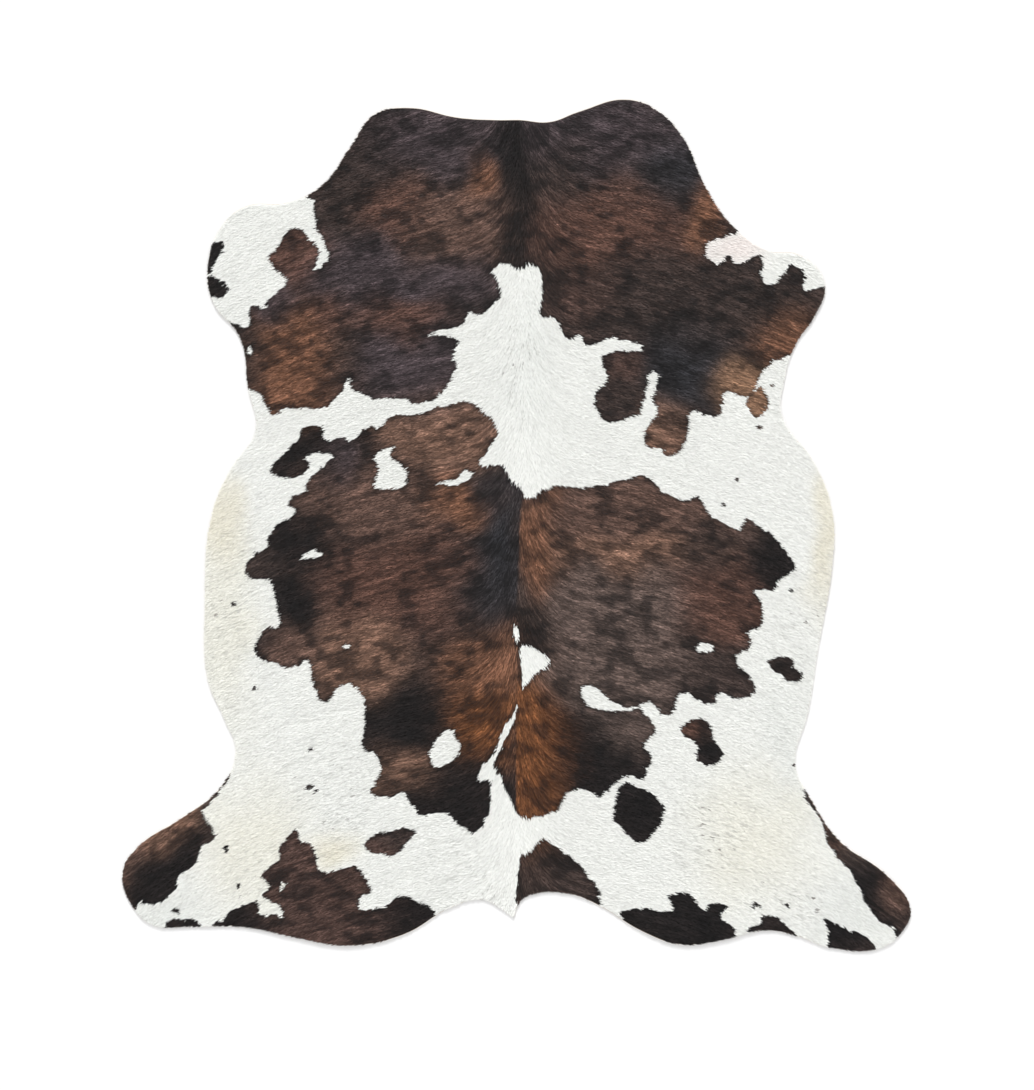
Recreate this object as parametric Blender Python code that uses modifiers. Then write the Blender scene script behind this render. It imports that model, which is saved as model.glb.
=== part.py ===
"""A cowhide rug: one whole hide, tanned with the hair on and laid out flat, hair side up.

The hide is a single piece of leather cut round its own outline, with nothing sewn to it.  It is
modelled as one flat solid that reaches as far as the hair does.  +Y runs to the neck, +X to the
right of a viewer who stands at the tail and looks down, and +Z up.  The origin is on the surface
that the hide lies on, under the middle of its outline's box.
"""

import bpy

# Driving sizes, in metres.
HIDE_LENGTH = 2.194         # neck to the lowest point of the hind legs
HIDE_WIDTH = 2.030          # across the hind legs
LEATHER_THICKNESS = 0.0028
HAIR_THICKNESS = 0.0032     # how high the hair lies on the leather
EDGE_ROUNDING = 0.0020      # the cut edge, with the hair bent over it
EDGE_SEGMENTS = 2
POINTS_PER_SPAN = 5         # how finely each span between two outline points is divided
MERGE_DISTANCE = 0.0001

CENTIMETRE = 0.01

# The outline of the hide, clockwise from the middle of the neck.  Each stretch of the edge is a
# short table with the columns (across, along), in centimetres: across is positive to the right,
# along is positive towards the neck.  The curve runs smoothly through all the points.
EDGE_STRETCHES = {
    "right half of the neck": [
        (0.8, 104.7), (8.5, 104.2), (16.0, 106.8), (28.8, 109.9), (37.0, 106.4), (43.5, 99.0), (48.3, 88.0),
    ],
    "right foreleg": [
        (55.0, 78.0), (64.0, 71.2), (73.2, 69.7), (79.3, 62.5), (77.0, 54.4), (72.0, 47.0), (69.0, 37.5),
    ],
    "right flank": [
        (68.3, 28.5), (76.5, 16.6), (81.4, 3.0), (81.3, -10.0), (77.8, -31.0), (75.0, -48.5), (71.8, -61.5),
    ],
    "right hind leg": [
        (76.2, -71.0), (83.2, -81.0), (95.5, -90.0), (101.5, -99.0), (99.2, -104.6), (94.0, -108.6),
        (80.5, -108.5),
    ],
    "right half of the rump": [
        (72.0, -105.6), (64.0, -104.1), (53.0, -106.6), (42.0, -107.8), (33.0, -104.8), (20.0, -97.2),
        (14.0, -94.9), (4.5, -94.8),
    ],
    "stump of the tail": [
        (0.9, -96.8), (-0.6, -101.0), (-4.0, -98.6),
    ],
    "left half of the rump": [
        (-9.0, -96.2), (-16.5, -98.2), (-29.0, -105.3), (-43.0, -108.1), (-56.0, -106.2), (-70.0, -103.3),
        (-84.0, -103.2),
    ],
    "left hind leg": [
        (-93.6, -102.8), (-98.6, -98.4), (-101.4, -89.2), (-97.5, -82.6), (-86.0, -75.0), (-76.0, -67.0),
    ],
    "left flank": [
        (-72.3, -58.0), (-75.3, -49.6), (-79.4, -40.0), (-80.2, -22.0), (-78.4, 3.0), (-73.0, 15.6),
        (-67.2, 24.4),
    ],
    "left foreleg": [
        (-69.1, 35.5), (-71.2, 48.6), (-78.0, 57.4), (-79.5, 66.0), (-76.0, 77.0), (-70.0, 82.3),
    ],
    "left half of the neck": [
        (-59.0, 83.4), (-50.0, 87.8), (-42.5, 98.0), (-36.5, 106.0), (-28.0, 107.8), (-15.0, 105.3),
        (-5.0, 104.7),
    ],
}
TAIL_TIP = (-0.6, -101.0)   # the one sharp point of the outline

HAIR_HIDE_COLOUR = (0.42, 0.36, 0.31, 1.0)
HAIR_HIDE_ROUGHNESS = 0.75


def clear_scene():
    """Removes every object that the file opened with."""
    for old in list(bpy.data.objects):
        bpy.data.objects.remove(old, do_unlink=True)


def make_collection(name):
    """Makes a collection for the rug and links it to the scene."""
    collection = bpy.data.collections.new(name)
    bpy.context.scene.collection.children.link(collection)
    return collection


def hair_hide_material():
    """Brown and white hair as one mean colour, matt and not metallic."""
    material = bpy.data.materials.new("hair_hide")
    material.use_nodes = True
    shader = material.node_tree.nodes["Principled BSDF"]
    shader.inputs["Base Color"].default_value = HAIR_HIDE_COLOUR
    shader.inputs["Roughness"].default_value = HAIR_HIDE_ROUGHNESS
    shader.inputs["Metallic"].default_value = 0.0
    return material


def outline_points():
    """All stretches in order, in metres, as (x, y, is_tip)."""
    rows = [row for stretch in EDGE_STRETCHES.values() for row in stretch]
    return [(x * CENTIMETRE, y * CENTIMETRE, (x, y) == TAIL_TIP) for x, y in rows]


def outline_curve(points, half_thickness):
    """A closed, filled 2D Bezier curve through the points, smooth everywhere but at the tail tip."""
    curve = bpy.data.curves.new("hide_outline", "CURVE")
    curve.dimensions = "2D"
    curve.fill_mode = "BOTH"
    curve.extrude = half_thickness
    curve.resolution_u = POINTS_PER_SPAN
    spline = curve.splines.new("BEZIER")
    spline.bezier_points.add(len(points) - 1)
    spline.use_cyclic_u = True
    for knot, (x, y, is_tip) in zip(spline.bezier_points, points):
        knot.co = (x, y, 0.0)
        knot.handle_left_type = knot.handle_right_type = "VECTOR" if is_tip else "AUTO"
    return curve


def mesh_box(mesh):
    """The lowest and highest x and y of a mesh."""
    xs = [vertex.co.x for vertex in mesh.vertices]
    ys = [vertex.co.y for vertex in mesh.vertices]
    return min(xs), max(xs), min(ys), max(ys)


def fitted_mesh(curve_object):
    """The filled curve as a mesh, brought to HIDE_WIDTH by HIDE_LENGTH and set down on z = 0."""
    evaluated = curve_object.evaluated_get(bpy.context.evaluated_depsgraph_get())
    mesh = bpy.data.meshes.new_from_object(evaluated)
    low_x, high_x, low_y, high_y = mesh_box(mesh)
    middle_x, middle_y = (low_x + high_x) / 2, (low_y + high_y) / 2
    scale_x, scale_y = HIDE_WIDTH / (high_x - low_x), HIDE_LENGTH / (high_y - low_y)
    lift = (LEATHER_THICKNESS + HAIR_THICKNESS) / 2
    for vertex in mesh.vertices:
        vertex.co.x = (vertex.co.x - middle_x) * scale_x
        vertex.co.y = (vertex.co.y - middle_y) * scale_y
        vertex.co.z += lift
    return mesh


def build_hide(collection):
    """The whole rug: one flat sheet of hair-on leather with a softened cut edge."""
    curve = outline_curve(outline_points(), (LEATHER_THICKNESS + HAIR_THICKNESS) / 2)
    guide = bpy.data.objects.new("hide_guide", curve)
    collection.objects.link(guide)
    bpy.context.view_layer.update()
    mesh = fitted_mesh(guide)
    bpy.data.objects.remove(guide, do_unlink=True)

    hide = bpy.data.objects.new("hide", mesh)
    collection.objects.link(hide)
    mesh.name = "hide"
    mesh.materials.clear()
    mesh.materials.append(hair_hide_material())

    weld = hide.modifiers.new("close_the_caps", "WELD")
    weld.merge_threshold = MERGE_DISTANCE
    rounding = hide.modifiers.new("soften_the_cut_edge", "BEVEL")
    rounding.width = EDGE_ROUNDING
    rounding.segments = EDGE_SEGMENTS
    rounding.limit_method = "ANGLE"
    rounding.use_clamp_overlap = False
    return hide


clear_scene()
build_hide(make_collection("cowhide_rug"))
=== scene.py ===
import math

import bpy
import numpy as np
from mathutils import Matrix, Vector
from mathutils.geometry import delaunay_2d_cdt


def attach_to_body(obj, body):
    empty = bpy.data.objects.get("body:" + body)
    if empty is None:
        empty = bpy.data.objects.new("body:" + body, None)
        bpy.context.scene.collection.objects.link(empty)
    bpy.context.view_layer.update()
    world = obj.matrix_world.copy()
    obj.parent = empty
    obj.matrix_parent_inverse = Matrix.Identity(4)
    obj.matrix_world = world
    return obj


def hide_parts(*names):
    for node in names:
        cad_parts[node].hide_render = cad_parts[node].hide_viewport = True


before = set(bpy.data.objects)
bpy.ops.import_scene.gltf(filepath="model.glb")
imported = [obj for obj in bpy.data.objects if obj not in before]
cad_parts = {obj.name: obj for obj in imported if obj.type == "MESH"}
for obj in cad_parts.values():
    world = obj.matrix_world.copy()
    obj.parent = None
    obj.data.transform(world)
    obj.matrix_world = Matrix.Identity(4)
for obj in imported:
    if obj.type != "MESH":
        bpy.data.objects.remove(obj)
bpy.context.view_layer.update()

CM = 0.01
MM = 0.001


# ---------------------------------------------------------------------------------------------
# The floor: a smooth, matt, near-white painted board, far larger than the hide, that the hide is
# laid out on.  It is the stage and not a piece of the rug.
# ---------------------------------------------------------------------------------------------

class Wire:
    """One output of a node. + - and * between wires and numbers add Math nodes."""

    def __init__(self, recipe, socket):
        self.recipe, self.socket = recipe, socket

    def math(self, operation, *values):
        return self.recipe.node("ShaderNodeMath", {"operation": operation}, values)

    def __add__(self, other):
        return self.math("ADD", self, other)

    def __radd__(self, other):
        return self.math("ADD", other, self)

    def __sub__(self, other):
        return self.math("SUBTRACT", self, other)

    def __rsub__(self, other):
        return self.math("SUBTRACT", other, self)

    def __mul__(self, other):
        return self.math("MULTIPLY", self, other)

    def __rmul__(self, other):
        return self.math("MULTIPLY", other, self)

    def between(self, low, high):
        """0 below low, 1 above high, and a smooth step from one to the other."""
        settings = {"interpolation_type": "SMOOTHSTEP"}
        return self.recipe.node("ShaderNodeMapRange", settings, {0: self, 1: low, 2: high})


class Recipe:
    """A new material with one Principled shader, and the nodes that are added to feed it."""

    def __init__(self, name, **constants):
        self.material = bpy.data.materials.new(name)
        self.material.use_nodes = True
        self.tree = self.material.node_tree
        self.shader = self.tree.nodes["Principled BSDF"]
        for socket, value in constants.items():
            self.shader.inputs[socket.replace("_", " ")].default_value = value

    def node(self, kind, settings=None, inputs=(), output=0):
        """Adds a node, sets its settings first, then its sockets, and returns one output."""
        node = self.tree.nodes.new(kind)
        for setting, value in (settings or {}).items():
            setattr(node, setting, value)
        pairs = inputs.items() if isinstance(inputs, dict) else enumerate(inputs)
        for socket, value in pairs:
            if isinstance(value, Wire):
                self.tree.links.new(value.socket, node.inputs[socket])
            else:
                node.inputs[socket].default_value = value
        return Wire(self, node.outputs[output])

    def attribute(self, name, output="Fac"):
        """A value, or with output Color a colour, that the mesh carries at its points."""
        return self.node("ShaderNodeAttribute", {"attribute_name": name}, output=output)

    def noise(self, scale, detail=2.0, stretch=(1.0, 1.0, 1.0)):
        """Perlin noise of the piece's own coordinates, drawn out along one axis by stretch."""
        place = self.node("ShaderNodeTexCoord", output="Object")
        place = self.node("ShaderNodeMapping", inputs={"Vector": place, "Scale": stretch})
        return self.node("ShaderNodeTexNoise", inputs={"Vector": place, "Scale": scale, "Detail": detail})

    def blend(self, factor, first, second, mode="MIX"):
        """Two colours, mixed or multiplied by a factor."""
        settings = {"data_type": "RGBA", "blend_type": mode}
        return self.node("ShaderNodeMix", settings, {0: factor, 6: first, 7: second}, output=2)

    def grey(self, value):
        """A number as a grey colour."""
        return self.node("ShaderNodeCombineColor", inputs=(value, value, value))

    def feed(self, **sockets):
        """Links wires into the shader's own sockets."""
        for socket, wire in sockets.items():
            self.tree.links.new(wire.socket, self.shader.inputs[socket.replace("_", " ")])
        return self.material


FLOOR_SIDE = 30.0
FLOOR_DROP = 0.4 * MM
BOARD_SHADES = ((0.955, 0.955, 0.957, 1), (0.975, 0.975, 0.975, 1))
BOARD_UNEVENNESS = 0.6         # cloudings for each metre

floor_mesh = bpy.data.meshes.new("floor")
half_floor = FLOOR_SIDE / 2
floor_signs = ((-1, -1), (1, -1), (1, 1), (-1, 1))
floor_corners = [(x * half_floor, y * half_floor, -FLOOR_DROP) for x, y in floor_signs]
floor_mesh.from_pydata(floor_corners, [], [(0, 1, 2, 3)])
floor = bpy.data.objects.new("floor", floor_mesh)
bpy.context.scene.collection.objects.link(floor)
board = Recipe("pale_board", Roughness=0.9, Specular_IOR_Level=0.1)
board_colour = board.blend(board.noise(BOARD_UNEVENNESS), *BOARD_SHADES)
floor_mesh.materials.append(board.feed(Base_Color=board_colour))


# ---------------------------------------------------------------------------------------------
# Light and camera: even light from all round, one broad soft light low over the neck end, and a
# long lens straight above the hide.
# ---------------------------------------------------------------------------------------------

ROOM_LIGHT = 0.84
KEY_STRENGTH = 0.27
KEY_HEIGHT = math.radians(24)
KEY_SOFTNESS = math.radians(14)
KEY_TURN = math.radians(6)

LENS_MM, SENSOR_MM = 85.0, 36.0
VIEW_HEIGHT = 2.808            # what the view takes in at the floor, from top to bottom
VIEW_CENTRE = (0.0013, -0.0507)
CAMERA_REACH = 100.0

world = bpy.data.worlds.new("room")
bpy.context.scene.world = world
world.use_nodes = True
world.node_tree.nodes["Background"].inputs["Color"].default_value = (1.0, 1.0, 1.0, 1.0)
world.node_tree.nodes["Background"].inputs["Strength"].default_value = ROOM_LIGHT

key = bpy.data.objects.new("key", bpy.data.lights.new("key", "SUN"))
key.data.energy = KEY_STRENGTH * math.pi / math.sin(KEY_HEIGHT)
key.data.angle = KEY_SOFTNESS
key.rotation_euler = (KEY_HEIGHT - math.pi / 2, 0.0, KEY_TURN)
bpy.context.scene.collection.objects.link(key)

camera = bpy.data.objects.new("camera", bpy.data.cameras.new("camera"))
camera.data.lens = LENS_MM
camera.data.sensor_width = SENSOR_MM
camera.data.clip_end = CAMERA_REACH
camera.location = (*VIEW_CENTRE, VIEW_HEIGHT * LENS_MM / SENSOR_MM)
bpy.context.scene.collection.objects.link(camera)
bpy.context.scene.camera = camera
bpy.context.scene.view_settings.view_transform = "Standard"


# ---------------------------------------------------------------------------------------------
# The markings: dark patches and white ground that grew with the hair.  Each patch's outline is a
# table of points read one by one, long for the largest ones, and noise then frays its edge.
# ---------------------------------------------------------------------------------------------

DRAWING_SHIFT = -0.18 * CM     # the drawing's middle lies a little below the middle of the hide

# Outlines of the patches, in centimetres from the drawing's middle: (across, along).
PATCHES = {
    "neck and shoulders": [
        (-56, 90), (-34, 114), (0, 112), (32, 116), (56, 96), (58.5, 78),
        (53.6, 74.8), (49.6, 72.8), (48.5, 69.4), (51.8, 67.2), (54.4, 69.8), (57.6, 67.4), (62.9, 70.3),
        (63.4, 62.6), (67, 63.2), (70.2, 66.8), (74.6, 65), (74.2, 60.8), (79.8, 61.6),
        (86, 58), (84, 48), (71.5, 44.2), (65, 42), (62.2, 37), (59.4, 33.3), (53.4, 34.7), (53, 29.1),
        (48, 29.1), (44.8, 29.7), (44.2, 24), (42.3, 19), (38.6, 18.4), (37.4, 20.4), (33.3, 20.5),
        (33.2, 25.2), (36.4, 30), (35, 32), (36.3, 37.5), (35, 40), (33.5, 38.5), (32.8, 32.5), (31.3, 28.8),
        (28, 27.6), (23.4, 26.6), (21, 29.5), (20.6, 33.5), (22.8, 38.5), (22.2, 43.5), (27.5, 45.1),
        (32, 45.4), (31, 47.2), (24.2, 48.2), (20, 46.8), (17.2, 47.4), (16.5, 48.7), (12.9, 48.5),
        (9.6, 53.8), (6.1, 54.5), (6.8, 61), (5, 66.4), (0.5, 66.3), (-2.8, 67.6), (-6.4, 65.6),
        (-4.2, 62), (-5.1, 57.5), (-9.2, 54.9), (-12.6, 55.1), (-13.8, 51.5), (-17.8, 51.1), (-23.6, 49),
        (-18.5, 49), (-14.7, 47.4), (-16.4, 44), (-15.6, 40), (-19.8, 34), (-24.5, 31.5), (-29.5, 32.8),
        (-38, 33), (-41.6, 34.8), (-42.6, 38.4), (-44.2, 35.6), (-46.4, 32.8), (-50.5, 30.4),
        (-59, 30.4), (-61.5, 28.3), (-64.6, 30.8), (-67, 35), (-74, 36), (-78, 46), (-76, 53), (-72.2, 51.8),
        (-69, 51.2), (-68.2, 56.4), (-64.9, 56), (-62.8, 59.6), (-59.8, 61.6), (-59.6, 64.4),
        (-63, 66.5), (-64, 69.8), (-60.6, 72), (-59.6, 75.8), (-56, 76.3), (-52.6, 73.4), (-50.7, 70.4),
        (-52.2, 66.2), (-49.6, 66.8), (-48.4, 69), (-49.4, 73), (-51.4, 77), (-52, 83)],
    "saddle, left": [
        (-55, 25), (-52, 26), (-49.8, 25.6), (-48.7, 22), (-44.5, 23), (-42.7, 21.8), (-38, 25.7),
        (-35.3, 24.8), (-32.2, 28), (-24, 29.4), (-14.5, 32), (-9, 29.8), (-5.1, 25.6), (-6.2, 21),
        (-9.7, 16), (-4, 15.6), (-1, 11.4), (2, 6.6), (3, -20), (0.8, -40), (-0.4, -47.5),
        (-2.8, -51.5), (-5.6, -57.4), (-10.4, -65.4), (-7, -66), (-7.2, -74), (-11, -78.8), (-15.4, -76.4),
        (-18, -74), (-24.4, -74.2), (-27.2, -71.3), (-28.4, -68.4), (-33, -70.2), (-37.8, -68.3),
        (-34.8, -63.6), (-36.4, -59), (-39.8, -56), (-38.6, -51), (-39.3, -45), (-42, -41.4),
        (-45, -40.6), (-48.6, -45), (-51.4, -43.8), (-53.3, -34.2), (-57.4, -36.1), (-63, -35.2),
        (-67.4, -32.4), (-64.8, -26.4), (-61.2, -26.2), (-61.2, -21), (-62.6, -16.6), (-64.2, -13.6),
        (-68, -13.4), (-70, -10.8), (-67.5, -6.8), (-64.6, -6), (-63, -0.8), (-56.4, 3.5), (-58.4, 6.2),
        (-54.2, 9), (-53.4, 11.6), (-46.6, 18), (-50, 18.7), (-54.2, 17.4), (-53.4, 15), (-57.4, 11.8),
        (-63.6, 13.9), (-59.6, 18.8), (-56.2, 22.6)],
    "saddle, right": [
        (-1, 4), (1.4, 6.6), (4, 7.8), (7.1, 9.5), (14.9, 10.6), (18, 9.7), (26.2, 11.2), (33, 13.4),
        (36.5, 9.2), (42.1, 6.8), (46.8, 7.5), (49.2, 3), (57, -0.6), (58.7, 2.2), (62.3, -0.6),
        (65.6, -2.4), (70.5, -8.3), (71.1, -11.4), (67.3, -13.7), (66.6, -16.8), (61.6, -16.8),
        (63.2, -20.4), (63, -25.8), (59.5, -27.2), (60.2, -31.4), (56.4, -33.7), (60.2, -39),
        (61.9, -42.2), (57.5, -44.5), (52.6, -42.8), (50.2, -45.8), (42, -42.7), (40.6, -47),
        (37.9, -48.6), (34.6, -45.2), (31.4, -46.8), (34.9, -50.6), (35.3, -53), (33, -57), (35, -59.8),
        (32.2, -65.6), (28.7, -64.2), (25.6, -66.4), (21.4, -69.5), (18.2, -67.8), (13, -69),
        (9.8, -73.2), (4.6, -74.9), (0.2, -74.2), (-3.4, -66), (-5.5, -61), (-3, -55), (0.4, -48),
        (-1.5, -40), (-2, -10)],
    "oval by the right shoulder": [(63.4, 35.6), (60.4, 33.6), (59.2, 31), (62, 28), (64.4, 31.4)],
    "upper black spot, left edge": [
        (-83, 74), (-76.6, 73.1), (-75.5, 70.8), (-77.7, 67.6), (-79.2, 64.6), (-84, 66)],
    "lower black spot, left edge": [
        (-83, 64), (-77.4, 63.9), (-73.6, 60.8), (-75.6, 59), (-80, 58.8), (-84, 61)],
    "spot on the right loin": [
        (64, -34.7), (67, -33.3), (71, -34.6), (70.8, -36.6), (73.8, -38), (71, -40), (66, -37.6)],
    "spot on the right thigh": [
        (42.4, -52), (45.4, -50), (48.5, -50.2), (50, -53.5), (52.7, -57.6), (52, -60.6), (48.6, -61.9),
        (46.5, -59.4), (46.3, -56.4), (43, -54)],
    "black spot beside the tail head": [
        (27.9, -66.3), (32, -67.5), (36, -69.3), (37.9, -72.4), (36.2, -78.2), (32, -81.5), (28.1, -79.2),
        (24.8, -74.5), (25.8, -69.6)],
    "patch beside the tail": [
        (0.7, -99), (0.2, -91), (0.8, -85), (4.4, -83.2), (6.8, -80.6), (13, -84.8), (18, -89.3), (21, -93),
        (21.5, -96), (20.4, -101), (10, -100)],
    "patch on the right edge of the rump": [
        (26.8, -99.6), (32, -98.5), (40, -99), (39.3, -95.6), (44.4, -94.5), (47.3, -99.1), (50.6, -97.1),
        (54, -97.7), (52.7, -101), (55.7, -103.2), (55.4, -107), (46, -112), (34, -110)],
    "sliver on the right edge of the rump": [
        (59.4, -104.4), (61, -102.8), (63, -102), (63, -100.5), (67, -100.8), (71, -104.2), (73, -106.5),
        (66, -105.6)],
    "teeth on the right hind leg": [
        (79.2, -101.2), (83.4, -103), (87.5, -104.2), (92.4, -108.6), (88, -112), (81, -112), (80.2, -106)],
    "outer side of the right hind leg": [
        (70.8, -61.5), (73, -63), (74.1, -67.5), (74.6, -70.6), (77.6, -75), (80, -81), (84.1, -87),
        (88.4, -94), (92, -99.8), (97, -104), (98.6, -106.5), (107, -106), (108, -94), (96, -84), (84, -74),
        (76, -62)],
    "outer side of the left hind leg": [
        (-73.2, -63), (-78, -70.4), (-80.8, -74), (-79, -76.6), (-77.6, -80), (-81, -83), (-82.2, -86.4),
        (-86.6, -89.8), (-87.3, -92.6), (-92.4, -97.2), (-97.1, -97.1), (-98.8, -99), (-106, -98),
        (-107, -86), (-98, -76), (-86, -66)],
    "flake on the left edge of the rump": [
        (-90.4, -102.5), (-87, -100.9), (-83.4, -101.2), (-80.6, -103.2), (-84, -106), (-89, -105)],
    "patch on the left edge of the rump": [
        (-78.6, -103.4), (-73, -99.3), (-68.5, -96.8), (-66.5, -97.2), (-66, -100), (-62, -99.8),
        (-60.4, -101.6), (-60.5, -98), (-66, -95.6), (-63.9, -93), (-65.4, -89.6), (-61.2, -86),
        (-60.4, -81.2), (-56.3, -78.3), (-55.4, -81), (-52.2, -82.3), (-51.2, -88.4), (-46.5, -88.6),
        (-41, -87.6), (-37.4, -93.8), (-40.2, -95.4), (-40.2, -98.6), (-36.1, -98.6), (-29, -95.3),
        (-25, -96.8), (-20.4, -100), (-28, -112), (-45, -116), (-62, -112), (-78, -108)],
    "almond above it": [
        (-39.5, -82.2), (-35, -79), (-27.5, -78.2), (-26.2, -79.4), (-31, -84.6), (-36, -84.3)],
}

# White places inside the patches, drawn the same way.
OPENINGS = {
    "in the left shoulder": [(-69.4, 45.6), (-68.4, 46.2), (-67.8, 45), (-68.8, 44.4)],
    "upper left of the saddle": [
        (-36.3, 18), (-33.5, 19.8), (-31.2, 20.5), (-32.6, 18.2), (-28.8, 15), (-28.2, 12), (-30.4, 9.7),
        (-36.6, 9.9), (-35, 14.5)],
    "streak beside it": [(-20.6, 11), (-15.6, 12.2), (-13, 14.5), (-11.2, 13), (-15, 10.6)],
    "nick by the left flank": [(-55, -8.3), (-52.4, -5.9), (-50.1, -7.7)],
    "dot": [(-44.3, -31), (-43.5, -30.2), (-42.7, -31), (-43.5, -31.9)],
    "nick by the right flank": [(45.9, -32.1), (47.2, -30.2), (50.1, -30.3), (50.4, -32.2)],
    "lower left of the saddle": [
        (-19.1, -53.9), (-16.4, -52.4), (-15.6, -55), (-14.2, -56.6), (-16.4, -60.2), (-20.9, -62.2),
        (-22.2, -58)],
    "wedge on the spine": [(1.3, -30.8), (5.5, -31.9), (8.4, -35.1), (4.3, -38.6), (1.7, -42), (1.2, -36)],
    "sliver on the spine": [(-0.8, -25), (0.6, -27), (0.3, -29.8), (-0.6, -28)],
    "wedge right of it": [
        (16.8, -41.9), (20, -41), (23.5, -44.6), (28, -46.5), (32.4, -46.9), (23.6, -47.6), (19, -46.5),
        (16.7, -44.1)],
    "fleck at the lower left": [(-60.9, -93.6), (-60.2, -91.4), (-59.4, -92.4), (-60.2, -94)],
}

FRAY_COARSE = (2.6 * CM, 0.50 * CM)     # size of the scallops, and how far they move the edge
FRAY_FINE = (1.1 * CM, 0.34 * CM)
FRAY_SEEDS = (11, 21)
OPENING_FRAY = 0.5                      # how much of it the white places get
LATTICE = 512                           # random values along each side of a noise lattice


def noise(x, y, length, width, seed):
    """Smooth noise from -1 to 1.

    Random values sit on a lattice of the given length and width; between them the four nearest
    are blended by 3t^2 - 2t^3 in both directions.
    """
    lattice = np.random.default_rng(seed).uniform(-1, 1, (LATTICE, LATTICE)).astype(np.float32)
    u, v = x / length, y / width
    i, j = np.floor(u).astype(np.int32), np.floor(v).astype(np.int32)
    s, t = u - i, v - j
    s, t = s * s * (3 - 2 * s), t * t * (3 - 2 * t)
    i0, i1, j0, j1 = i % LATTICE, (i + 1) % LATTICE, j % LATTICE, (j + 1) % LATTICE
    near = lattice[i0, j0] * (1 - s) + lattice[i1, j0] * s
    far = lattice[i0, j1] * (1 - s) + lattice[i1, j1] * s
    return near * (1 - t) + far * t


def smooth_loop(points, steps):
    """A closed Catmull-Rom curve: each span is the cubic through its two ends whose slopes are
    half the step between the points on either side."""
    p = np.asarray(points, float)
    a, b, c, d = (np.roll(p, shift, axis=0)[:, None, :] for shift in (1, 0, -1, -2))
    t = (np.arange(steps) / steps)[None, :, None]
    curve = b + 0.5 * t * (c - a + t * (2 * a - 5 * b + 4 * c - d + t * (3 * b - 3 * c + d - a)))
    return curve.reshape(-1, 2)


def depth_inside(x, y, loop):
    """How far points lie inside a closed loop, negative outside: the least distance to any of its
    sides, signed by whether a ray to the right crosses an odd number of them."""
    nearest = np.full(x.shape, np.inf, x.dtype)
    inside = np.zeros(x.shape, bool)
    for (x1, y1), (x2, y2) in zip(loop, np.roll(loop, -1, axis=0)):
        side_x, side_y = x2 - x1, y2 - y1 + 1e-9
        t = np.clip(((x - x1) * side_x + (y - y1) * side_y) / (side_x ** 2 + side_y ** 2), 0, 1)
        nearest = np.minimum(nearest, (x - x1 - t * side_x) ** 2 + (y - y1 - t * side_y) ** 2)
        inside ^= ((y1 > y) != (y2 > y)) & (x < x1 + (y - y1) * side_x / side_y)
    return np.where(inside, 1, -1) * np.sqrt(nearest)


# The hide's outline is the edge of the CAD solid, read where its side stands upright.  Sorted by
# angle about one centre for the neck half and one for the rump half, its points fall in order.
EDGE_ROUNDING = 2.0 * MM
NECK_CENTRE, RUMP_CENTRE = (0.0, 0.15), (0.0, -0.42)

solid = np.empty((len(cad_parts["hide"].data.vertices), 3), np.float32)
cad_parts["hide"].data.vertices.foreach_get("co", solid.ravel())
upright = np.abs(solid[:, 2] - EDGE_ROUNDING) < 0.2 * MM
rim = np.unique(np.round(solid[upright, :2].astype(float), 5), axis=0)


def in_order(points, centre, start):
    """The points sorted by their angle about a centre, counted from a starting angle."""
    angle = np.arctan2(points[:, 1] - centre[1], points[:, 0] - centre[0])
    return points[np.argsort(np.mod(angle - start, 2 * np.pi))]


rim = np.vstack([in_order(rim[rim[:, 1] > 0], NECK_CENTRE, -np.pi / 2),
                 in_order(rim[rim[:, 1] <= 0], RUMP_CENTRE, np.pi / 2)])

# A chart of the hide: all the patterns and heights are worked out once on this lattice.
CHART_STEP = 4 * MM
CHART_MARGIN = 4 * CM
chart_low = rim.min(axis=0) - CHART_MARGIN
chart_count = np.ceil((rim.max(axis=0) + CHART_MARGIN - chart_low) / CHART_STEP).astype(int) + 1
chart_x, chart_y = (a.astype(np.float32) for a in np.meshgrid(
    chart_low[0] + CHART_STEP * np.arange(chart_count[0]),
    chart_low[1] + CHART_STEP * np.arange(chart_count[1]), indexing="ij"))


def read_chart(chart, x, y):
    """The chart's value at any point, blended evenly from the four lattice points round it."""
    u = np.clip((x - chart_low[0]) / CHART_STEP, 0, chart_count[0] - 1.001)
    v = np.clip((y - chart_low[1]) / CHART_STEP, 0, chart_count[1] - 1.001)
    i, j = u.astype(np.int32), v.astype(np.int32)
    s, t = u - i, v - j
    if chart.ndim == 3:
        s, t = s[..., None], t[..., None]
    return ((chart[i, j] * (1 - s) + chart[i + 1, j] * s) * (1 - t)
            + (chart[i, j + 1] * (1 - s) + chart[i + 1, j + 1] * s) * t)


CURVE_STEPS = 4                # parts that each span between two outline points is cut into
FAR_OUTSIDE = -0.2             # the depth given to all that is far from any patch
PATCH_MARGIN = 0.03


def drawn_depth(x, y, outlines):
    """How far points lie inside any of the drawn outlines: the greatest of their depths."""
    deepest = np.full(x.shape, FAR_OUTSIDE, np.float32)
    for outline in outlines.values():
        loop = smooth_loop(np.array(outline, float) * CM + (0, DRAWING_SHIFT), CURVE_STEPS)
        low, high = loop.min(axis=0) - PATCH_MARGIN, loop.max(axis=0) + PATCH_MARGIN
        near = (x > low[0]) & (x < high[0]) & (y > low[1]) & (y < high[1])
        deepest[near] = np.maximum(deepest[near], depth_inside(x[near], y[near], loop))
    return deepest


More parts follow.
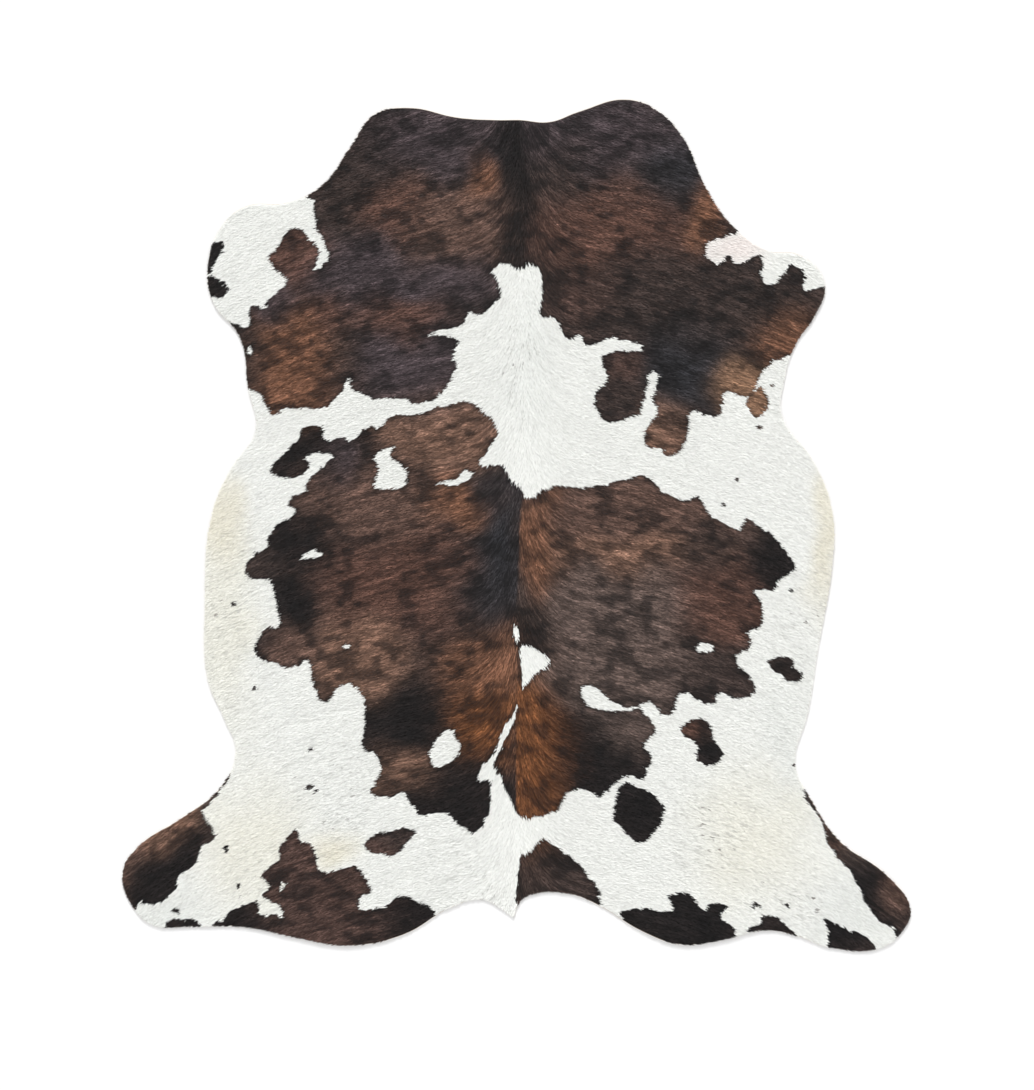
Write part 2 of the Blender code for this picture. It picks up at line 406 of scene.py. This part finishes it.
rim_depth = depth_inside(chart_x, chart_y, rim).astype(np.float32)
fray_x, fray_y = (sum(far * noise(chart_x, chart_y, size, size, seed + k)
                      for k, (size, far) in enumerate((FRAY_COARSE, FRAY_FINE))) for seed in FRAY_SEEDS)
patch_depth = drawn_depth(chart_x + fray_x, chart_y + fray_y, PATCHES)
opening_depth = drawn_depth(chart_x + OPENING_FRAY * fray_x, chart_y + OPENING_FRAY * fray_y, OPENINGS)
patch_depth = np.minimum(patch_depth, -opening_depth)

# How the hair lies.  From the spine it runs to the tail and turns outwards, so a lock lies along
# a line of equal y + lay_drop(|x|), where x is counted from the spine.
SPINE = ((-105, 0.3), (-48, 0.0), (-20, 0.0), (8, 1.6), (60, 1.6), (80, 2.4), (105, 0.8))   # along, across
LAY_AT_SPINE = 5.0          # how steeply it starts: forward steps for each step outwards
LAY_TURN = 4.0 * CM         # how soon it turns outwards
LAY_DROOP = 0.22            # how steeply it still falls towards the belly
LAY_LEG_DROOP = 0.55        # and what is added to that a metre out


def from_spine(x, y):
    """Distance to the right of the spine, negative on the left."""
    along, across = np.array(SPINE).T * CM
    return x - np.interp(y, along, across)


def lay_slope(out):
    """How far a lock runs towards the tail for each step outwards: droop + steep * exp(-out / turn)."""
    return LAY_DROOP + LAY_AT_SPINE * np.exp(-out / LAY_TURN) + LAY_LEG_DROOP * out ** 2


def lay_drop(out):
    """The integral of lay_slope from the spine outwards."""
    near = LAY_AT_SPINE * LAY_TURN * (1 - np.exp(-out / LAY_TURN))
    return LAY_DROOP * out + near + LAY_LEG_DROOP * out ** 3 / 3


def streaks(x, y, length, width, seed):
    """Noise drawn out along the lie of the hair, -1 to 1."""
    side = from_spine(x, y)
    out = np.abs(side)
    return noise(out * np.sign(side), y + lay_drop(out), length, width, seed)


# Colours of the hair, as sRGB.
HAIR_COLOURS = {
    "black": "0e0c0d", "blue black": "232428", "soot": "40373a", "umber": "332926", "bark": "4a3731",
    "cocoa": "5c463d", "walnut": "76594a", "chestnut": "523930", "rust": "6e4b38", "copper": "6c4225",
    "tan": "83644e", "grey brown": "5d4e48",
    # mist is a grey tone of the hair, and in the clouds at the lower corners it is also painted shade.
    "white": "f8f9f5", "cream": "efe9d4", "ivory": "f5f3e6", "mist": "f0f2ee", "blush": "faeeea",
    "fleck": "a3a29d",
}

# Soft clouds of colour: (across, along, half width, half length, colour), in centimetres.
DARK_CLOUDS = [
    (0, 88, 4.0, 24, "black"), (-22, 100, 14, 7, "soot"),
    (22, 101, 18, 7, "soot"), (-38, 95, 9, 9, "umber"),
    (-9, 90, 3, 5, "rust"), (-15, 78, 11, 8, "cocoa"),
    (-31, 81, 8, 6, "chestnut"), (-45, 84, 6, 9, "umber"),
    (-40, 66, 12, 7, "soot"), (-22, 63, 10, 6, "soot"),
    (25, 77, 14, 8, "chestnut"), (48, 82, 3.5, 6, "rust"),
    (42, 92, 6, 7, "blue black"), (17, 60, 6, 5, "bark"), (34, 60, 14, 9, "umber"), (60, 54, 9, 6, "umber"),
    (70, 49, 6, 5, "rust"), (12, 90, 6, 8, "umber"), (-57, 42, 8, 10, "rust"), (-67, 44, 4, 8, "umber"),
    (-49, 54, 5, 4, "chestnut"), (-29, 53, 8, 4, "chestnut"), (-28, 40, 12, 8, "soot"),
    (-46, 43, 5, 7, "umber"), (-62, 60, 5, 5, "soot"),
    (-57, 69, 6, 6, "chestnut"), (-72, 48, 3, 5, "black"),
    (44, 38, 9, 9, "blue black"), (59, 36, 5, 4, "tan"), (28, 41, 5, 4, "bark"), (27, 31, 6, 4, "umber"),
    (39, 24, 6, 6, "walnut"), (62, 31, 4, 4, "tan"),
    (-18, 24, 13, 6, "walnut"), (-38, 20, 4, 6, "black"), (-54, 19, 8, 6, "black"), (-45, 18, 4, 5, "soot"),
    (-38, 8, 13, 8, "cocoa"), (-53, -1, 6, 6, "black"),
    (-16, 6, 7, 5, "rust"), (-6, -3, 5, 16, "blue black"),
    (-32, -14, 12, 9, "chestnut"), (-58, -20, 5, 6, "black"), (-56, -31, 5, 4, "cocoa"),
    (-42, -34, 8, 7, "walnut"), (-8, -37, 8, 7, "rust"),
    (-10, -51, 7, 7, "copper"), (-30, -51, 10, 7, "black"),
    (-30, -64, 7, 5, "walnut"), (-18, -70, 11, 8, "black"),
    (6, -4, 4, 11, "rust"), (28, 4, 17, 6, "cocoa"), (30, -6, 13, 4, "walnut"), (48, -5, 4, 6, "umber"),
    (67, -9, 5, 6, "black"), (54, -20, 8, 8, "chestnut"),
    (25, -21, 15, 7, "grey brown"), (6, -25, 5, 7, "black"),
    (26, -38, 16, 6, "grey brown"), (52, -39, 9, 6, "umber"),
    (4, -58, 7, 16, "copper"), (20, -58, 10, 11, "black"),
    (28, -52, 7, 5, "grey brown"),
    (10, -90, 12, 8, "umber"), (-50, -95, 13, 13, "bark"),
    (-28, -101, 6, 7, "black"), (-70, -101, 8, 4, "black"),
    (-92, -90, 8, 8, "black"), (-79, -69, 3, 3, "grey brown"), (-88, -76, 5, 3, "walnut"),
    (-96, -81, 4, 3, "walnut"), (-100, -88, 2.5, 5, "cocoa"),
    (86, -93, 6, 9, "black"), (80, -79, 3, 4, "cocoa"),
    (88, -85, 4, 3, "grey brown"), (97, -92, 4, 4, "cocoa"),
    (43, -102, 15, 7, "black"), (65, -102, 4, 2, "umber"),
    (86, -106, 7, 4, "black"), (45, -53, 3, 3, "chestnut"),
    (50, -59, 3, 2.5, "black"), (67, -36, 5, 3, "umber"),
    (31, -74, 7, 8, "black"), (-33, -81, 7, 3, "umber"), (-77, 66, 4, 9, "black"),
]
PALE_CLOUDS = [
    (-76, 1, 4, 9, "cream"), (80, -2, 3.5, 14, "cream"),
    (61, -80, 12, 12, "ivory"), (-68, -83, 10, 13, "ivory"),
    (-47, -85, 4, 4, "cream"), (55, 71, 6, 3, "blush"),
    (69, -55, 4, 11, "mist"), (-74, -25, 5, 20, "ivory"),
    # The two mist clouds at the lower left and right corners are painted shade: a faint grey for the shade
    # along the hide's edges there.
    (2, 45, 5, 14, "mist"), (-90, -100, 9, 5, "mist"), (86, -98, 9, 8, "mist"),
]
CLOUD_EDGE = 0.6 * CM           # how sharply a cloud stops at the spine
CLOUD_DRIFT = (9 * CM, 3.0 * CM)  # size and reach of the wandering of its outline
CLOUD_SEEDS = (31, 32)
SPINE_CLOUD = 2.5               # clouds this near the spine, in centimetres, may cross it


def paint(code):
    """A colour of HAIR_COLOURS, from sRGB to the linear values that light adds up in."""
    parts = np.array([int(HAIR_COLOURS[code][k:k + 2], 16) for k in (0, 2, 4)]) / 255
    return np.where(parts < 0.04045, parts / 12.92, ((parts + 0.055) / 1.055) ** 2.4)


def clouded(x, y, clouds, ground, ground_weight):
    """The mean of the clouds' colours at each point, each weighed by exp(-r^2) of its own oval,
    with the ground colour behind them.  A cloud on one side of the spine stays on that side."""
    size, far = CLOUD_DRIFT
    drift_x = x + far * noise(x, y, size, size, CLOUD_SEEDS[0])
    drift_y = y + far * noise(x, y, size, size, CLOUD_SEEDS[1])
    side = from_spine(x, y)
    weight = np.full(x.shape, ground_weight, np.float32)
    colour = weight[..., None] * paint(ground)
    for across, along, half_width, half_length, name in clouds:
        r2 = (((drift_x / CM - across) / half_width) ** 2
              + (((drift_y - DRAWING_SHIFT) / CM - along) / half_length) ** 2)
        w = np.exp(-r2)
        if abs(across) > SPINE_CLOUD:
            w = w * np.clip(0.5 + side * np.sign(across) / CLOUD_EDGE, 0, 1)
        weight += w
        colour += w[..., None] * paint(name)
    return (colour / weight[..., None]).astype(np.float32)


dark_chart = clouded(chart_x, chart_y, DARK_CLOUDS, "umber", 0.10)
pale_chart = clouded(chart_x, chart_y, PALE_CLOUDS, "white", 0.45)


# ---------------------------------------------------------------------------------------------
# The leather: a whole hide tanned soft, 2.8 mm thick, grain side up with the hair rooted in it,
# suede below, trimmed with a knife round its outline.  It lies flat but for a few gentle waves.
# ---------------------------------------------------------------------------------------------

LEATHER_THICKNESS = 2.8 * MM
TRIM = 2 * MM                   # how far the hair reaches past the leather
GRAIN_STEP = 8 * MM
SUEDE_STEP = 60 * MM
EDGE_PROFILE = ((0.5 * MM, 0.85), (0.7 * MM, 0.5), (0.5 * MM, 0.12))   # bulge, share of the height

# Gentle waves, (across, along, half width, half length, height in mm): where the hide isn't quite flat.
WAVES = [
    (-90, -86, 9, 9, 4.0), (91, -92, 10, 8, 4.5), (-76, 66, 8, 12, 3.5), (76, 63, 8, 9, 3.0),
    (80, -6, 7, 18, 3.0), (-78, -12, 7, 22, 3.0), (-34, 104, 13, 6, 3.0), (28, 104, 14, 7, 3.5),
    (-46, -104, 16, 6, 3.0), (46, -104, 14, 6, 3.0), (70, 30, 6, 8, 2.0), (-70, 30, 6, 8, 2.0),
]
# Creases left from folding, as lines of (across, along) points.
CREASES = [
    [(52.5, -60), (57, -61.7), (61, -61), (65, -58.5), (68, -56), (71, -52)], [(34, -55), (42, -54)],
    [(-60, -51.5), (-50, -50.5)], [(-48, -48.5), (-42, -47.5)], [(-44, -70), (-38, -69.5)],
    [(-28, -83.5), (-15, -81.5), (-10, -85), (-8, -88)],
]
CREASE_DEPTH, CREASE_HALF_WIDTH = 1.1 * MM, 5 * MM
SPINE_RIDGE, SPINE_HALF_WIDTH = 0.8 * MM, 12 * MM
BUCKLE_HEIGHT, BUCKLE_SIZE, BUCKLE_SEED = 0.35 * MM, 7 * CM, 41


def line_distance(x, y, line):
    """Distance to an open line of straight stretches."""
    nearest = np.full(x.shape, np.inf, x.dtype)
    for (x1, y1), (x2, y2) in zip(line[:-1], line[1:]):
        side_x, side_y = x2 - x1, y2 - y1
        t = np.clip(((x - x1) * side_x + (y - y1) * side_y) / (side_x ** 2 + side_y ** 2), 0, 1)
        nearest = np.minimum(nearest, np.hypot(x - x1 - t * side_x, y - y1 - t * side_y))
    return nearest


wave_chart = np.zeros(chart_x.shape, np.float32)
for across, along, half_width, half_length, height in WAVES:
    wave_chart += height * MM * np.exp(-((chart_x / CM - across) / half_width) ** 2
                                       - ((chart_y / CM - along) / half_length) ** 2)
grain_chart = SPINE_RIDGE * np.exp(-(from_spine(chart_x, chart_y) / SPINE_HALF_WIDTH) ** 2)
grain_chart += BUCKLE_HEIGHT * noise(chart_x, chart_y, BUCKLE_SIZE, BUCKLE_SIZE, BUCKLE_SEED)
for crease in CREASES:
    away = line_distance(chart_x, chart_y, np.array(crease, float) * CM)
    grain_chart -= CREASE_DEPTH * np.exp(-(away / CREASE_HALF_WIDTH) ** 2)


def grain_height(x, y):
    """Height of the leather's upper side: its thickness, the waves, the ridge and the creases."""
    return LEATHER_THICKNESS + read_chart(wave_chart, x, y) + read_chart(grain_chart, x, y)


def inset(loop, distance):
    """The loop moved inwards along its own normals, which are square to the chord between each
    point's neighbours.  The loop runs anticlockwise."""
    chord = np.roll(loop, -1, axis=0) - np.roll(loop, 1, axis=0)
    inwards = np.column_stack([-chord[:, 1], chord[:, 0]]) / np.linalg.norm(chord, axis=1)[:, None]
    return loop + distance * inwards


def filled(loop, step):
    """Points and triangles that fill a loop: a square lattice that keeps clear of the loop, joined
    to it by Delaunay triangulation.  The loop's own points come first."""
    low, high = loop.min(axis=0), loop.max(axis=0)
    lattice = np.meshgrid(np.arange(low[0], high[0], step), np.arange(low[1], high[1], step))
    x, y = (a.ravel() for a in lattice)
    clear = read_chart(rim_depth, x, y) > TRIM + 0.45 * step
    points = np.vstack([loop, np.column_stack([x[clear], y[clear]])])
    sides = [(k, (k + 1) % len(loop)) for k in range(len(loop))]
    corners = [Vector(p) for p in points.tolist()]
    placed, _, faces, _, _, _ = delaunay_2d_cdt(corners, sides, [], 1, 1e-7, False)
    placed, faces = np.array([tuple(p) for p in placed]), np.array(faces, np.int32)
    across_loop = np.flatnonzero((faces < len(loop)).all(axis=1))
    middle = placed[faces[across_loop]].mean(axis=1)
    outside = across_loop[depth_inside(middle[:, 0], middle[:, 1], loop) < 0]
    return placed, np.delete(faces, outside, axis=0)


cut_loop = inset(smooth_loop(rim, CURVE_STEPS), TRIM)
top_xy, top_faces = filled(cut_loop, GRAIN_STEP)
under_xy, under_faces = filled(cut_loop, SUEDE_STEP)


def lifted(x, y):
    """Height of the leather's underside: the waves alone."""
    return read_chart(wave_chart, x, y)


def attach(mesh, name, kind, values):
    """Stores one value or colour for each point of a mesh under a name."""
    layer = mesh.attributes.new(name, kind, "POINT")
    field = "value" if kind == "FLOAT" else "color"
    layer.data.foreach_set(field, np.ascontiguousarray(values, np.float32).ravel())


def with_alpha(colour):
    """The colours with a fourth column of ones."""
    return np.concatenate([colour, np.ones(colour.shape[:-1] + (1,), np.float32)], axis=-1)


loop_size = len(cut_loop)
bulge_rows = []
for outwards, share in EDGE_PROFILE:
    row = inset(cut_loop, -outwards)
    low, high = lifted(*cut_loop.T), grain_height(*cut_loop.T)
    bulge_rows.append(np.column_stack([row, low + share * (high - low)]))
top_points = np.column_stack([top_xy, grain_height(*top_xy.T)])
under_points = np.column_stack([under_xy, lifted(*under_xy.T)])
leather_points = np.vstack([top_points, under_points, *bulge_rows])

# The rows of the cut edge, each closed on itself, from the top loop down to the under loop.
row_starts = [0]
for k in range(len(EDGE_PROFILE)):
    row_starts.append(len(top_points) + len(under_points) + k * loop_size)
row_starts.append(len(top_points))
k = np.arange(loop_size)
k_next = (k + 1) % loop_size
edge_faces = []
for upper, lower in zip(row_starts[:-1], row_starts[1:]):
    edge_faces.append(np.column_stack([lower + k, lower + k_next, upper + k_next]))
    edge_faces.append(np.column_stack([lower + k, upper + k_next, upper + k]))
edge_faces = np.vstack(edge_faces)
leather_faces = np.vstack([top_faces, under_faces[:, ::-1] + len(top_points), edge_faces])

leather_mesh = bpy.data.meshes.new("hide_leather")
leather_mesh.vertices.add(len(leather_points))
leather_mesh.vertices.foreach_set("co", leather_points.astype(np.float32).ravel())
leather_mesh.loops.add(leather_faces.size)
leather_mesh.loops.foreach_set("vertex_index", leather_faces.ravel().astype(np.int32))
leather_mesh.polygons.add(len(leather_faces))
leather_mesh.polygons.foreach_set("loop_start", np.arange(0, leather_faces.size, 3, dtype=np.int32))
leather_mesh.update(calc_edges=True)
leather_mesh.polygons.foreach_set("use_smooth", np.ones(len(leather_faces), bool))
suede_face = np.arange(len(leather_faces)) >= len(top_faces)
leather_mesh.polygons.foreach_set("material_index", suede_face.astype(np.int32))

leather_xy = leather_points[:, :2].T
attach(leather_mesh, "patch_depth", "FLOAT", read_chart(patch_depth, *leather_xy))
attach(leather_mesh, "dark", "FLOAT_COLOR", with_alpha(read_chart(dark_chart, *leather_xy)))
attach(leather_mesh, "pale", "FLOAT_COLOR", with_alpha(read_chart(pale_chart, *leather_xy)))

skin = Recipe("hair_side_skin", Roughness=0.75, Specular_IOR_Level=0.15)
pigment = skin.attribute("patch_depth") + (skin.noise(160.0) - 0.5) * (6 * MM)
skin_colour = skin.blend(pigment.between(-1.5 * MM, 1.5 * MM), skin.attribute("pale", "Color"),
                         skin.attribute("dark", "Color"))
strands = skin.noise(300.0, stretch=(0.25, 1.0, 1.0))
skin_colour = skin.blend(1.0, skin_colour, skin.grey(0.75 + 0.3 * strands), "MULTIPLY")
leather_mesh.materials.append(skin.feed(Base_Color=skin_colour))

SUEDE_SHADES = ((0.50, 0.40, 0.29, 1), (0.62, 0.53, 0.41, 1))
suede = Recipe("suede_underside", Roughness=0.95, Specular_IOR_Level=0.1)
nap = suede.noise(420.0, 3.0)
scuff = suede.noise(9.0, 3.0)
suede_colour = suede.blend(scuff, *SUEDE_SHADES)
suede_colour = suede.blend(1.0, suede_colour, suede.grey(0.82 + 0.36 * nap), "MULTIPLY")
leather_mesh.materials.append(suede.feed(Base_Color=suede_colour))

leather = bpy.data.objects.new("hide_leather", leather_mesh)
bpy.context.scene.collection.objects.link(leather)
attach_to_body(leather, "root")
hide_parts("hide")


# ---------------------------------------------------------------------------------------------
# The hair: the short, sleek coat left on the hide, a finer undercoat and longer guard hairs over
# it, all lying flat.  Each blade here stands for a small lock, and the locks of one kind are one
# joined mesh.
# ---------------------------------------------------------------------------------------------

LOCK_SPACING = 3.455 * MM
LOCK_WIDTH = 2.2 * MM
LOCKS_PER_MESH = 65536
UNDERCOAT = (12.0 * MM, 2.0 * MM)      # length, and how far it varies either way
GUARD_HAIR = (17.0 * MM, 3.0 * MM)
LOCK_PIECES = {"undercoat_hair_a": UNDERCOAT, "guard_hair_a": GUARD_HAIR,
               "undercoat_hair_b": UNDERCOAT, "guard_hair_b": GUARD_HAIR}
LOCK_LIFT = (1.2 * MM, 2.6 * MM)
LOCK_STRAY = math.radians(11)
LOCK_ROLL = 0.32
OVERHANG = (-0.5 * MM, 3.0 * MM)       # how far the tips may hang out past the outline

# Small dark spots in the white, (across, along, radius).
DOTS = [
    (53.5, 5.5, 0.7), (-72.7, -20.2, 0.7), (-67.5, -41.5, 0.6), (-52.5, -57.2, 0.7), (-53.5, -67, 0.8),
    (-51.7, -68.5, 0.6), (-74.3, -83, 0.6), (-71.5, -92.5, 0.6), (70.5, -16.3, 0.6), (62, 25, 0.6),
    (65.7, 36.3, 0.6), (57, 12, 0.6), (61.5, -98, 0.7), (70, -97.5, 0.6), (-87.3, -99.2, 0.8),
]
for across, along, radius in DOTS:
    away_x = chart_x + fray_x - across * CM
    away_y = chart_y + fray_y - along * CM - DRAWING_SHIFT
    patch_depth = np.maximum(patch_depth, radius * CM - np.hypot(away_x, away_y))

# Where grey hairs are mixed into the white: (across, along, half width, half length, share).
GREY_CLOUDS = [
    (2, 45, 6, 22, 0.9), (-72, -25, 12, 30, 0.55), (74, -25, 12, 34, 0.55), (-50, -68, 16, 16, 0.6),
    (52, -75, 18, 18, 0.6), (-62, -92, 14, 12, 0.6), (70, -96, 16, 10, 0.6), (-12, -92, 14, 12, 0.5),
    (-80, 48, 10, 10, 0.4), (80, 46, 10, 10, 0.4), (40, 10, 12, 10, 0.35), (-90, -95, 12, 10, 0.6),
]
grey_chart = np.full(chart_x.shape, 0.16, np.float32)
for across, along, half_width, half_length, share in GREY_CLOUDS:
    r2 = ((chart_x / CM - across) / half_width) ** 2 + ((chart_y / CM - along) / half_length) ** 2
    grey_chart = np.maximum(grey_chart, share * np.exp(-r2))


def lay(x, y):
    """The direction of the hair: one step outwards from the spine and lay_slope towards the tail."""
    side = from_spine(x, y)
    outwards = np.clip(side / (1.0 * CM), -1, 1)
    run = lay_slope(np.abs(side))
    length = np.hypot(outwards, run)
    return outwards / length, -run / length


def mixed(share, first, second):
    """Colours between first and second, by the share of second."""
    return first + share[..., None] * (second - first)


def ramp(value, low, high):
    """0 below low, 1 above high and 3t^2 - 2t^3 between."""
    t = np.clip((value - low) / (high - low), 0, 1)
    return t * t * (3 - 2 * t)


# Sizes and seeds of what varies the coat: length along the lie, width across it, seed.
FINE_STREAK, BROAD_STREAK = (24 * MM, 3.2 * MM, 51), (70 * MM, 9 * MM, 52)
GREY_STREAK = (17 * MM, 3.4 * MM, 53)
BROAD_MOTTLE, FINE_MOTTLE = (55 * MM, 38 * MM, 54), (24 * MM, 17 * MM, 55)
SPECK, SPECK_CLUSTER = (8 * MM, 6 * MM, 56), (80 * MM, 60 * MM, 57)
EDGE_SOFTNESS = 1.2 * MM
SOOTY_EDGE = (10 * MM, 2 * MM)          # where the soot at a patch's edge starts and is full


def coat_colour(x, y, dice):
    """The colour of the lock whose middle is at a point.  Inside a patch it is the patch's own
    colour, sooty near the edge, streaked along the lie; outside it is white with grey hairs."""
    depth = read_chart(patch_depth, x, y) + EDGE_SOFTNESS * dice.normal(size=x.size)
    dark = read_chart(dark_chart, x, y)
    dark = mixed(0.55 * ramp(depth, *SOOTY_EDGE), dark, paint("black"))
    fine = streaks(x, y, *FINE_STREAK)
    broad = streaks(x, y, *BROAD_STREAK)
    mottle = 0.6 * noise(x, y, *BROAD_MOTTLE) + 0.6 * noise(x, y, *FINE_MOTTLE)
    dark = mixed(0.62 * ramp(mottle, -0.05, 0.55), dark, paint("black"))
    strength = 0.24 - 0.2 * mottle + 0.5 * fine + 0.4 * broad + 0.26 * dice.normal(size=x.size)
    dark = dark * np.exp(strength)[:, None]
    pale = read_chart(pale_chart, x, y)
    grey = ramp(streaks(x, y, *GREY_STREAK), 0.42, 0.85) * 0.75 * read_chart(grey_chart, x, y)
    pale = mixed(grey, pale, paint("fleck"))
    gathered = ramp(noise(x, y, *SPECK_CLUSTER), -0.1, 0.5) * ramp(read_chart(grey_chart, x, y), 0.2, 0.5)
    speck = ramp(noise(x, y, *SPECK), 0.78, 0.90) * gathered
    pale = mixed(0.8 * speck, pale, paint("grey brown"))
    pale = pale * (1 + 0.03 * broad + 0.02 * dice.normal(size=x.size))[:, None]
    return mixed((depth > 0).astype(np.float32), pale, dark)


dice = np.random.default_rng(5)
columns, rows = ((rim.max(axis=0) - rim.min(axis=0)) / LOCK_SPACING).astype(int)
column, row = (a.ravel() for a in np.meshgrid(np.arange(columns), np.arange(rows), indexing="ij"))
root_x = rim[:, 0].min() + LOCK_SPACING * (column + dice.uniform(0, 1, column.size))
root_y = rim[:, 1].min() + LOCK_SPACING * (row + dice.uniform(0, 1, row.size))
rooted = read_chart(rim_depth, root_x, root_y) > TRIM + 0.3 * MM
lot = (2 * (column % 2) + row % 2)[rooted]
root_x, root_y = root_x[rooted], root_y[rooted]


def outer_height(x, y):
    """Height that hair rests on: the leather's upper side, sinking to the floor past its edge."""
    on_leather = ramp(read_chart(rim_depth, x, y), -5 * MM, TRIM)
    return grain_height(x, y) * on_leather + 0.5 * MM * (1 - on_leather)


# A lock's corners: (along its length, share of its half width, share of its lift).
LOCK_SHAPE = ((0, 0.75, -0.1), (0, -0.75, -0.1), (0.5, -1, 1), (0.5, 1, 1), (1, 0, 0.9))
LOWEST_HAIR = 0.3 * MM
SHORTEST_LOCK = 3 * MM
CELLS_ACROSS = 256             # each lock has its own cell of the unwrapping
CELL_U = np.array([0.15, 0.85, 0.85, 0.15, 0.15, 0.85, 0.5])
CELL_V = np.array([0.15, 0.15, 0.6, 0.6, 0.6, 0.6, 0.9])


def grown(name, x, y, length, spread, dice):
    """A joined mesh of locks.  Each is a strip of one rectangle and one pointed triangle, bent
    up from its root and down to its tip, and shortened where it would hang too far out."""
    count = x.size
    lay_x, lay_y = lay(x, y)
    stray = LOCK_STRAY * dice.normal(size=count)
    run_x = lay_x * np.cos(stray) - lay_y * np.sin(stray)
    run_y = lay_x * np.sin(stray) + lay_y * np.cos(stray)
    reach = length + spread * dice.uniform(-1, 1, count)
    limit = dice.uniform(*OVERHANG, count)
    for _ in range(3):
        over = -read_chart(rim_depth, x + reach * run_x, y + reach * run_y) - limit
        reach = np.maximum(reach - np.maximum(over, 0), SHORTEST_LOCK)
    half = 0.5 * LOCK_WIDTH * dice.uniform(0.8, 1.2, count)
    roll = LOCK_ROLL * dice.uniform(-1, 1, count)
    lift = dice.uniform(*LOCK_LIFT, count)
    corners = []
    for along, width, height in LOCK_SHAPE:
        px = x + along * reach * run_x - width * half * run_y
        py = y + along * reach * run_y + width * half * run_x
        pz = outer_height(px, py) + height * lift + width * roll * half
        corners.append(np.column_stack([px, py, np.maximum(pz, LOWEST_HAIR)]))
    points = np.stack(corners, axis=1).reshape(-1, 3)
    first = 5 * np.arange(count)[:, None]
    quads = first + [0, 1, 2, 3]
    tips = first + [3, 2, 4]
    corner_order = np.concatenate([quads, tips], axis=1).astype(np.int32)
    mesh = bpy.data.meshes.new(name)
    mesh.vertices.add(5 * count)
    mesh.vertices.foreach_set("co", points.astype(np.float32).ravel())
    mesh.loops.add(7 * count)
    mesh.loops.foreach_set("vertex_index", corner_order.ravel())
    mesh.polygons.add(2 * count)
    starts = 7 * np.arange(count)[:, None] + [0, 4]
    mesh.polygons.foreach_set("loop_start", starts.astype(np.int32).ravel())
    mesh.update(calc_edges=True)
    middle_x, middle_y = x + 0.45 * reach * run_x, y + 0.45 * reach * run_y
    colour = coat_colour(middle_x, middle_y, dice)
    attach(mesh, "coat", "FLOAT_COLOR", with_alpha(np.repeat(colour, 5, axis=0)))
    cell = np.arange(count)
    u = (cell[:, None] % CELLS_ACROSS + CELL_U) / CELLS_ACROSS
    v = (cell[:, None] // CELLS_ACROSS + CELL_V) / CELLS_ACROSS
    uv = mesh.uv_layers.new(name="OFBake")
    uv.data.foreach_set("uv", np.stack([u, v], axis=-1).astype(np.float32).ravel())
    return mesh


hair = Recipe("hair", Roughness=0.5, Specular_IOR_Level=0.22)
grain = hair.noise(900.0)
hair_colour = hair.blend(1.0, hair.attribute("coat", "Color"), hair.grey(0.8 + 0.4 * grain), "MULTIPLY")
hair_material = hair.feed(Base_Color=hair_colour)

for number, (name, length_and_spread) in enumerate(LOCK_PIECES.items()):
    mine = np.flatnonzero(lot == number)
    mine = np.sort(dice.permutation(mine)[:LOCKS_PER_MESH])
    mesh = grown(name, root_x[mine], root_y[mine], *length_and_spread, dice)
    mesh.materials.append(hair_material)
    piece = bpy.data.objects.new(name, mesh)
    bpy.context.scene.collection.objects.link(piece)
    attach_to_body(piece, "root")
